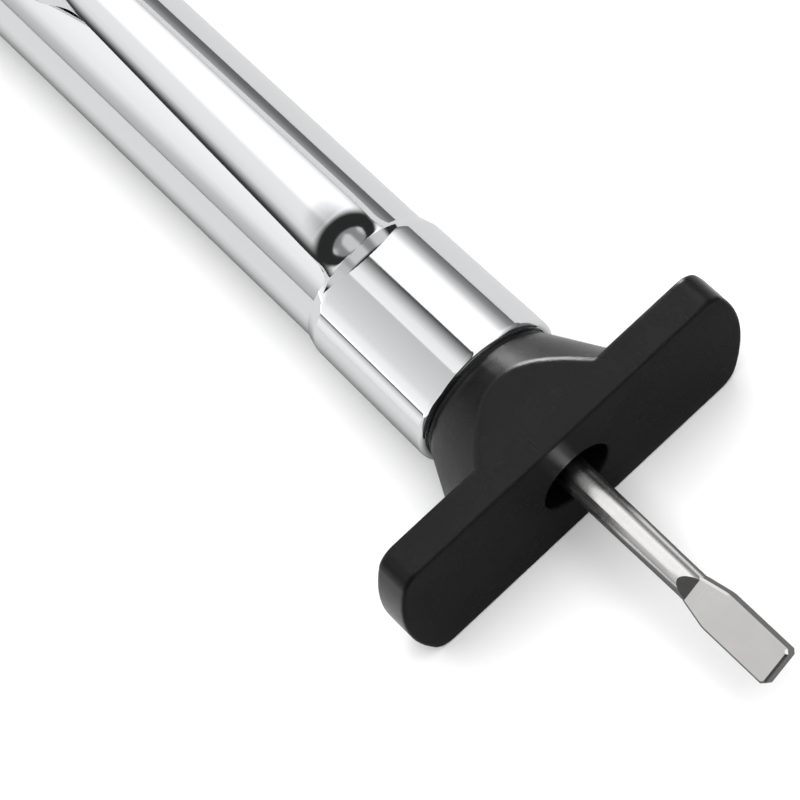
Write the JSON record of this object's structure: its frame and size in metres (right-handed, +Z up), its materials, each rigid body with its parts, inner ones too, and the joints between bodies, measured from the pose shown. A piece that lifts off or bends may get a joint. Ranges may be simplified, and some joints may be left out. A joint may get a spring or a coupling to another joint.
{
  "type": "tire tread depth gauge",
  "caption": "Pen type tire tread depth gauge: chromed barrel with a pocket clip, black T foot, flat steel probe and a sliding indicator bar.",
  "frame": {"origin": "centre of the foot's measuring face, on the probe's axis", "axes": "+X along the gauge's axis out of the measuring face towards the probe's tip, +Y along the foot, +Z up on the side of the pocket clip"},
  "size_m": [0.1205, 0.026, 0.0143],
  "materials": {
    "chrome": "polished chrome plating",
    "black_plastic": "glossy moulded black",
    "steel": "bright ground steel",
    "brass": "turned brass",
    "rubber": "moulded rubber",
    "white_nylon": "moulded white nylon"
  },
  "bodies": {
    "handle": {"barrel": "chrome", "end_cap": "black_plastic", "foot": "black_plastic", "guide_bush": "brass", "pocket_clip": "chrome"},
    "slider": {"probe": "steel", "carrier": "brass", "probe_pin": "steel", "bar_pin": "steel", "friction_ring": "rubber", "indicator_bar": "white_nylon", "bar_button": "black_plastic"}
  },
  "joints": [
    {"name": "probe_slide", "type": "slide", "parent": "handle", "child": "slider", "axis": [1, 0, 0], "range_m": [-0.0161, 0.0093]}
  ]
}
